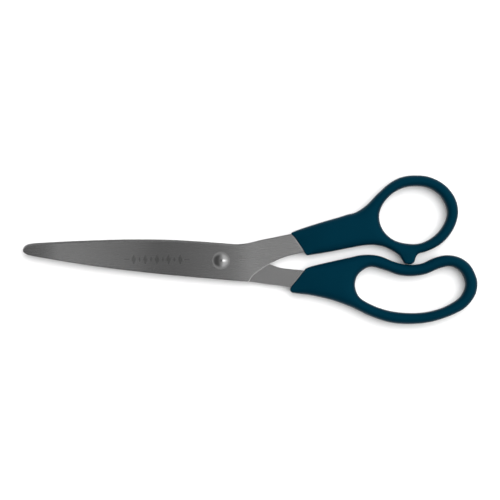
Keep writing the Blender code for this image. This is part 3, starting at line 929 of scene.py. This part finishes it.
def polished(name):
    """Polished steel with faint scuffs, and painted shade in the head's centre mark."""
    material, nodes, shader = new_material(name)
    place = nodes.millimetres()
    scuffs = nodes.noise(place, *SCUFFS)
    above = nodes.math("GREATER_THAN", nodes.add("SeparateXYZ", {0: place}).outputs["Z"], MID_Z)
    fading = [DIMPLE_R * share for share in MARK_SHADE_FADING]
    # Painted shade in the centre mark, on the head only.
    mark_shade = nodes.ramp(nodes.distance(place, PIVOT), *fading, 1.0, 0.0)
    tone = nodes.math("MULTIPLY_ADD", nodes.math("MULTIPLY", mark_shade, above), -MARK_SHADE_DARKER, RIVET_TONE)
    tone = nodes.math("MULTIPLY", nodes.around_one(scuffs, SCUFFED_TONE), tone)
    nodes.feed(shader.inputs["Base Color"], nodes.grey(tone))
    rough = nodes.math("MULTIPLY_ADD", scuffs, SCUFFED_ROUGHNESS, RIVET_ROUGHNESS)
    nodes.feed(shader.inputs["Roughness"], rough)
    shader.inputs["Metallic"].default_value = 1.0
    return material


# Floor, light and camera

FLOOR_DROP = 0.02  # the floor lies this far under the handles' flats
FLOOR_HALF = 3.0  # half of its side, in metres
FLOOR_WHITE = 0.9


def make_floor():
    """A plain matt white floor."""
    half = FLOOR_HALF
    z = HANDLE_LOW * MM - FLOOR_DROP * MM
    corners = [(-half, -half, z), (half, -half, z), (half, half, z), (-half, half, z)]
    mesh = bpy.data.meshes.new("floor")
    mesh.from_pydata(corners, [], [(0, 1, 2, 3)])
    material, _, shader = new_material("floor_white")
    shader.inputs["Base Color"].default_value = (FLOOR_WHITE, FLOOR_WHITE, FLOOR_WHITE, 1)
    shader.inputs["Roughness"].default_value = 1.0
    shader.inputs["Specular IOR Level"].default_value = 0.0
    mesh.materials.append(material)
    floor = bpy.data.objects.new("floor", mesh)
    bpy.context.scene.collection.objects.link(floor)


def make_sun(name, strength, spread, towards):
    """A soft far light, spread over this many degrees, that doesn't show in reflections."""
    light = bpy.data.lights.new(name, "SUN")
    light.energy = strength
    light.angle = math.radians(spread)
    sun = bpy.data.objects.new(name, light)
    sun.rotation_mode = "QUATERNION"
    sun.rotation_quaternion = Vector(towards).to_track_quat("Z", "Y")
    sun.visible_glossy = False
    bpy.context.scene.collection.objects.link(sun)


# The studio's brightness along an arc from -X over the top to +X: degrees from the top, brightness
STUDIO_ARC = (
    (-90, 0.3), (-72, 0.2), (-60, 0.08), (-28, 0.08), (-12, 0.2), (0, 0.3), (11, 0.38), (20, 0.6), (32, 0.65),
    (45, 0.6), (60, 0.5), (90, 0.45),
)
STUDIO_SIDES = 0.33  # brightness to both sides of the arc
STUDIO_ARC_HALF = (42.0, 75.0)  # degrees off the arc over which it gives way to the sides
LAMPS = (  # degrees from the top on the arc, spread along and across it, and brightness
    (24.0, 5.0, 5.0, 2.4),
    (38.0, 11.0, 9.0, 0.9),
)
LOWEST_UP = 0.001  # what lies lower counts as the horizon


def make_world():
    """What the steel and the plastic reflect: a studio that is bright to the right and dim to the left."""
    world = bpy.data.worlds.new("studio")
    world.use_nodes = True
    nodes = Nodes(world.node_tree)
    axes = nodes.add("SeparateXYZ", {0: nodes.add("TexCoord").outputs["Generated"]}).outputs
    up = nodes.math("MAXIMUM", axes["Z"], LOWEST_UP)
    across = nodes.math("MULTIPLY", nodes.math("ARCTAN2", axes["X"], up), 180 / math.pi)
    aside = nodes.math("MULTIPLY", nodes.math("ARCTAN2", axes["Y"], up), 180 / math.pi)
    arc = nodes.curve(across, STUDIO_ARC)
    leaving = nodes.ramp(nodes.math("ABSOLUTE", aside), *STUDIO_ARC_HALF)
    level = nodes.add("Mix", {"Factor": leaving, "A": arc, "B": STUDIO_SIDES}).outputs[0]
    for place, along, wide, brightness in LAMPS:
        away = nodes.math("POWER", nodes.math("DIVIDE", nodes.math("SUBTRACT", across, place), along), 2.0)
        away = nodes.math("ADD", away, nodes.math("POWER", nodes.math("DIVIDE", aside, wide), 2.0))
        lamp = nodes.math("EXPONENT", nodes.math("MULTIPLY", away, -0.5))
        level = nodes.math("MULTIPLY_ADD", lamp, brightness, level)
    background = world.node_tree.nodes["Background"]
    nodes.feed(background.inputs["Strength"], level)
    background.inputs["Color"].default_value = (1, 1, 1, 1)
    bpy.context.scene.world = world


SENSOR_WIDTH = 36.0
CAMERA_DISTANCE = 1300.0
VIEW_WIDTH = 223.7  # what the frame takes in, at the object
VIEW_MIDDLE = (-0.13, -0.16)


def make_camera():
    """Straight above, with a long lens."""
    data = bpy.data.cameras.new("camera")
    data.sensor_width = SENSOR_WIDTH
    data.lens = SENSOR_WIDTH * CAMERA_DISTANCE / VIEW_WIDTH
    camera = bpy.data.objects.new("camera", data)
    camera.location = Vector((*VIEW_MIDDLE, MID_Z + CAMERA_DISTANCE)) * MM
    bpy.context.scene.collection.objects.link(camera)
    bpy.context.scene.camera = camera


def main():
    face = steel(
        "steel_face", tone=1.0, curve=FACE_PAINTED_REFLECTION, roughness=0.27, streaks=0.015, grain=0.055, ornament=True,
        mouth=THUMB_MOUTH_HIGHLIGHT,
    )
    bevel = steel("steel_bevel", tone=1.0, curve=BEVEL_PAINTED_SHADE, roughness=0.3, streaks=0.05, grain=0.3)
    # The eased edges' low tone is painted shade against the bright floor they reflect.
    edge = steel("steel_edge", tone=0.4, curve=FACE_PAINTED_REFLECTION, roughness=0.35, streaks=0.08, grain=0.4, heel=True)
    inner = steel(
        "steel_inner", tone=0.585, curve=None, roughness=0.2, streaks=0.02, grain=0.1, mouth=FINGER_MOUTH_HIGHLIGHT,
    )
    finishes = [face, bevel, edge, inner]
    navy = plastic("handle_plastic")
    front = make_blade(
        "front_blade_detail", FRONT_BLADE, FRONT_TANG, True, FRONT_INNER_Z, FRONT_OUTER_Z, finishes,
    )
    back = make_blade(
        "back_blade_detail", BACK_BLADE, BACK_TANG, False, BACK_INNER_Z, BACK_OUTER_Z, finishes,
    )
    rivet = make_rivet(polished("rivet_polish"))
    thumb = make_handle(
        "thumb_handle_detail", THUMB_OUTLINE, THUMB_HOLE, THUMB_EJECTORS, FRONT_BLADE[-2:], FRONT_TANG,
        (FRONT_INNER_Z, FRONT_OUTER_Z), navy,
    )
    finger = make_handle(
        "finger_handle_detail", FINGER_OUTLINE, FINGER_HOLE, FINGER_EJECTORS, BACK_BLADE[-2:], BACK_TANG,
        (BACK_OUTER_Z, BACK_INNER_Z), navy,
    )
    for piece, node, body, slot in (
        (front, "front_blade", "thumb_side", "blade_steel"),
        (back, "back_blade", "finger_side", "blade_steel"),
        (rivet, "pivot_rivet", "finger_side", "rivet_steel"),
        (thumb, "thumb_handle", "thumb_side", "handle_plastic"),
        (finger, "finger_handle", "finger_side", "handle_plastic"),
    ):
        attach(piece, body)
        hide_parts(node)
    make_floor()
    make_sun("key", strength=4.0, spread=75, towards=(0.24, 0.3, 0.9))
    make_world()
    make_camera()
    bpy.context.scene.view_settings.view_transform = "Standard"


main()
